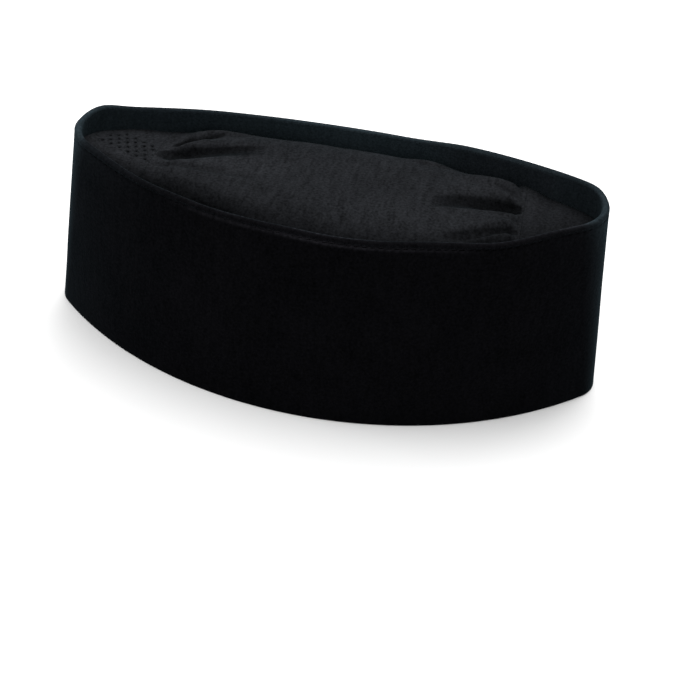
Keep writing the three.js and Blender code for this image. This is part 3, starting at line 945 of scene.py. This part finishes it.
class SONGKOK_OT_ends(bpy.types.Operator):
    """Build the two end panels, one of them with vent holes"""
    bl_idname = "songkok.ends"
    bl_label = "End panels"

    def execute(self, context):
        crown, vents, finishes = settings("crown"), settings("vents"), settings("finishes")
        seam = positions_at(crown.seam_from_middle + crown.seam_slit / 2)
        tones, turn = (finishes.crown_deep, finishes.crown_light), (math.radians(90), 0, 0)
        # The vented end's cloth takes the crown's tones painted lighter, as painted light.
        lighter = tuple(scaled(tone, finishes.vented_painted_light_gain) for tone in tones)
        cloths = (velvet("vented_cloth", lighter, None, turn, 0.90, 0.20, 0.30, 0.03, 0.92),
                  velvet("end_cloth", tones, None, turn, 0.85, 0.30, 0.22, 0.02, 0.88))
        for name, node, side, cloth in (("end_cover_vented", "end_panel_vented", -1, cloths[0]),
                                        ("end_cover_plain", "end_panel_plain", 1, cloths[1])):
            def stations(u):
                across = 1 - u if side < 0 else u
                return side * crown_edge(seam * (1 - across))[0]

            piece = panel_piece(name, stations, 110, 96, end_surface(side < 0))
            piece.data.materials.append(cloth)
            piece.data.materials.append(backing_material())
            give_thickness(piece, crown.cloth)
            if side < 0:
                self.cut_vents(piece, vents)
            smooth(piece)
            dress(piece, node)
        return {"FINISHED"}

    def cut_vents(self, piece, vents):
        bpy.ops.object.select_all(action="DESELECT")
        drills = []
        level = settings("band").height - settings("crown").drop
        for hole_x, hole_y in vent_places():
            bpy.ops.mesh.primitive_cylinder_add(vertices=14, radius=vents.diameter / 2, depth=0.012,
                                                location=(hole_x, hole_y, level))
            drills.append(bpy.context.active_object)
        for drill in drills:
            drill.select_set(True)
        bpy.ops.object.join()
        drill = bpy.context.active_object
        cut = piece.modifiers.new("vents", "BOOLEAN")
        cut.operation, cut.solver, cut.object = "DIFFERENCE", "EXACT", drill
        pick_only(piece)
        bpy.ops.object.modifier_apply(modifier=cut.name)
        bpy.data.objects.remove(drill, do_unlink=True)


class SONGKOK_OT_stage(bpy.types.Operator):
    """Set up the pale floor, the soft light and the camera"""
    bl_idname = "songkok.stage"
    bl_label = "Stage"

    def execute(self, context):
        stage = settings("stage")
        scene = context.scene
        scene.view_settings.view_transform = "Standard"
        bpy.ops.object.select_all(action="DESELECT")
        bpy.ops.mesh.primitive_plane_add(size=8)
        floor = bpy.context.active_object
        floor.name = floor.data.name = "floor"
        material, tree, surface = start_material("pale_floor", 0.95, 0.0)
        grain = add_node(tree, "ShaderNodeTexNoise", Scale=30.0, Detail=2.0)
        tree.links.new(object_vector(tree), grain.inputs["Vector"])
        tone = settings("finishes").floor
        shown = tone_mix(tree, grain.outputs["Fac"], scaled(tone, 0.985), tone)
        tree.links.new(shown, surface.inputs["Base Color"])
        floor.data.materials.append(material)

        world = bpy.data.worlds.new("studio")
        world.use_nodes = True
        world.node_tree.nodes["Background"].inputs["Color"].default_value = (1, 1, 1, 1)
        world.node_tree.nodes["Background"].inputs["Strength"].default_value = stage.sky
        scene.world = world
        for name, place, aim, size, power in (
            ("overhead_light", (0.10, 0.45, 1.10), (0, 0, 0.08), 0.9, stage.overhead),
            ("side_light", (-0.95, -0.10, 0.55), (0, 0, 0.06), 0.6, stage.side),
        ):
            bpy.ops.object.light_add(type="AREA", location=place)
            light = bpy.context.active_object
            light.name = name
            light.data.size, light.data.energy = size, power
            back = (Vector(place) - Vector(aim)).normalized()
            light.matrix_world = Matrix.Translation(place) @ back.to_track_quat("Z", "Y").to_matrix().to_4x4()

        azimuth, elevation, roll = stage.camera_turn
        back = Vector((math.sin(azimuth) * math.cos(elevation), -math.cos(azimuth) * math.cos(elevation),
                       math.sin(elevation)))
        right = Vector((math.cos(azimuth), math.sin(azimuth), 0))
        upwards = back.cross(right)
        right, upwards = (right * math.cos(roll) + upwards * math.sin(roll),
                          upwards * math.cos(roll) - right * math.sin(roll))
        bpy.ops.object.camera_add()
        camera = bpy.context.active_object
        camera.name = "camera"
        turned = Matrix((right, upwards, back)).transposed().to_4x4()
        camera.matrix_world = Matrix.Translation(stage.camera_place) @ turned
        camera.data.lens, camera.data.sensor_width = stage.lens, 36
        scene.camera = camera
        return {"FINISHED"}


OPERATORS = (SONGKOK_OT_band, SONGKOK_OT_stitches, SONGKOK_OT_crown, SONGKOK_OT_ends, SONGKOK_OT_stage)
GROUPS = {"band": BandSizes, "stitches": StitchSizes, "crown": CrownSizes, "vents": VentSizes,
          "finishes": Finishes, "stage": StageSettings}


class SONGKOK_PT_panel(bpy.types.Panel):
    """Builds the songkok piece by piece"""
    bl_idname = "SONGKOK_PT_panel"
    bl_label = "Songkok"
    bl_space_type = "VIEW_3D"
    bl_region_type = "UI"
    bl_category = "Songkok"

    def draw(self, context):
        for name, group in GROUPS.items():
            box = self.layout.box()
            box.label(text=name.capitalize())
            for prop in group.__annotations__:
                box.prop(settings(name), prop)
        for operator in OPERATORS:
            self.layout.operator(operator.bl_idname)


def register():
    for name, group in GROUPS.items():
        bpy.utils.register_class(group)
        setattr(bpy.types.Scene, "songkok_" + name, PointerProperty(type=group))
    for operator in OPERATORS:
        bpy.utils.register_class(operator)
    bpy.utils.register_class(SONGKOK_PT_panel)


def unregister():
    bpy.utils.unregister_class(SONGKOK_PT_panel)
    for operator in reversed(OPERATORS):
        bpy.utils.unregister_class(operator)
    for name, group in reversed(GROUPS.items()):
        delattr(bpy.types.Scene, "songkok_" + name)
        bpy.utils.unregister_class(group)


def main():
    register()
    for operator in OPERATORS:
        getattr(bpy.ops.songkok, operator.bl_idname.split(".")[1])()


if __name__ == "__main__":
    main()
